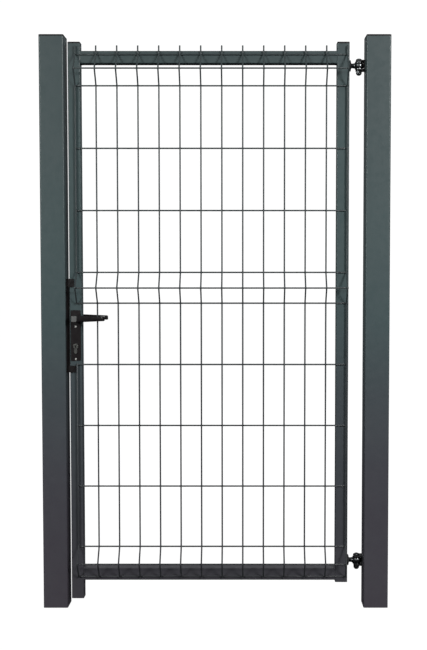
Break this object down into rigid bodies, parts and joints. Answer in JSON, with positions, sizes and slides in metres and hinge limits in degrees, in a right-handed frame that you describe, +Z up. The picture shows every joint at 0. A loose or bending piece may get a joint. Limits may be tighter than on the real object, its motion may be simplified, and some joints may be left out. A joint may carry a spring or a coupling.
{
  "type": "garden gate",
  "caption": "Single garden gate between two square posts: framed leaf with folded welded-wire mesh, adjustable eye-bolt hinges, lever lock with key cylinder and a keep.",
  "frame": {"origin": "on the ground midway between the two posts, in the plane through the middle of the leaf's frame", "axes": "+Z up, +X from the lock post to the hinge post, -Y towards the side that shows the mesh folds and the keep's stops"},
  "size_m": [1.13, 0.1314, 1.8621],
  "materials": {
    "post_paint": "teal-grey powder coat",
    "frame_paint": "teal-grey powder coat",
    "mesh_paint": "teal-grey powder coat on welded wire",
    "cap_plastic": "black moulded plastic",
    "keep_paint": "black coated metal",
    "buffer_rubber": "black rubber",
    "bracket_paint": "black coated metal",
    "zinc": "zinc-plated steel",
    "white_nylon": "white nylon",
    "dark_nylon": "dark nylon",
    "stainless": "brushed stainless steel",
    "case_zinc": "plain zinc-plated steel",
    "plate_black": "black anodised plate",
    "lever_black": "black coated lever",
    "cap_grey": "light grey plastic",
    "cylinder_nickel": "satin nickel"
  },
  "bodies": {
    "posts": {"lock_post": "post_paint", "hinge_post": "post_paint", "lock_post_cap": "cap_plastic", "hinge_post_cap": "cap_plastic", "keep_body": "keep_paint", "keep_top_stop": "keep_paint", "keep_bottom_stop": "keep_paint", "stop_buffers": "buffer_rubber", "keep_screws": "zinc", "top_hinge_bracket": "bracket_paint", "bottom_hinge_bracket": "bracket_paint", "hinge_pins": "zinc", "hinge_nuts": "zinc", "hinge_washers": "zinc"},
    "leaf": {"lock_stile": "frame_paint", "hinge_stile": "frame_paint", "top_rail": "frame_paint", "bottom_rail": "frame_paint", "lock_stile_cap": "cap_plastic", "hinge_stile_cap": "cap_plastic", "top_eye_bolt": "zinc", "bottom_eye_bolt": "zinc", "hinge_collars": "bracket_paint", "hinge_inserts": "zinc", "hinge_bushes": "white_nylon", "upright_wire_1": "mesh_paint", "upright_wire_2": "mesh_paint", "upright_wire_3": "mesh_paint", "upright_wire_4": "mesh_paint", "upright_wire_5": "mesh_paint", "upright_wire_6": "mesh_paint", "upright_wire_7": "mesh_paint", "upright_wire_8": "mesh_paint", "upright_wire_9": "mesh_paint", "upright_wire_10": "mesh_paint", "upright_wire_11": "mesh_paint", "upright_wire_12": "mesh_paint", "upright_wire_13": "mesh_paint", "upright_wire_14": "mesh_paint", "cross_wires": "mesh_paint", "lock_case": "case_zinc", "lock_faceplate": "stainless", "faceplate_screws": "stainless", "front_plate": "plate_black", "back_plate": "plate_black", "plate_screws": "stainless", "cylinder_body": "cylinder_nickel", "cylinder_screw": "stainless", "lever_bushes": "dark_nylon", "latch_spring": "stainless"},
    "handles": {"front_lever": "lever_black", "back_lever": "lever_black", "lever_caps": "cap_grey", "spindle": "stainless", "follower": "case_zinc", "lever_grub_screws": "stainless"},
    "latch": {"latch_bolt": "stainless"},
    "key_barrel": {"cylinder_plug": "cylinder_nickel"},
    "dead_bolt_body": {"dead_bolt": "stainless"}
  },
  "joints": [
    {"name": "gate_swing", "type": "hinge", "parent": "posts", "child": "leaf", "pos_m": [0.4645, 0, 0.95], "axis": [0, 0, -1], "range_deg": [0, 90]},
    {"name": "lever_turn", "type": "hinge", "parent": "leaf", "child": "handles", "pos_m": [-0.455, 0, 0.95], "axis": [0, 1, 0], "range_deg": [0, 35], "stiffness_Nm_per_rad": 1.2, "springref_deg": -28.65},
    {"name": "latch_slide", "type": "slide", "parent": "leaf", "child": "latch", "axis": [1, 0, 0], "range_m": [0, 0.012], "deforming": ["latch_spring"]},
    {"name": "key_turn", "type": "hinge", "parent": "leaf", "child": "key_barrel", "pos_m": [-0.455, 0, 0.86], "axis": [0, 1, 0], "range_deg": [0, 360]},
    {"name": "dead_bolt_slide", "type": "slide", "parent": "leaf", "child": "dead_bolt_body", "axis": [-1, 0, 0], "range_m": [0, 0.016]}
  ],
  "couplings": [
    {"joint": "latch_slide", "follows": "lever_turn", "m_per_rad": 0.01964},
    {"joint": "key_turn", "follows": "dead_bolt_slide", "rad_per_m": 392.69}
  ]
}
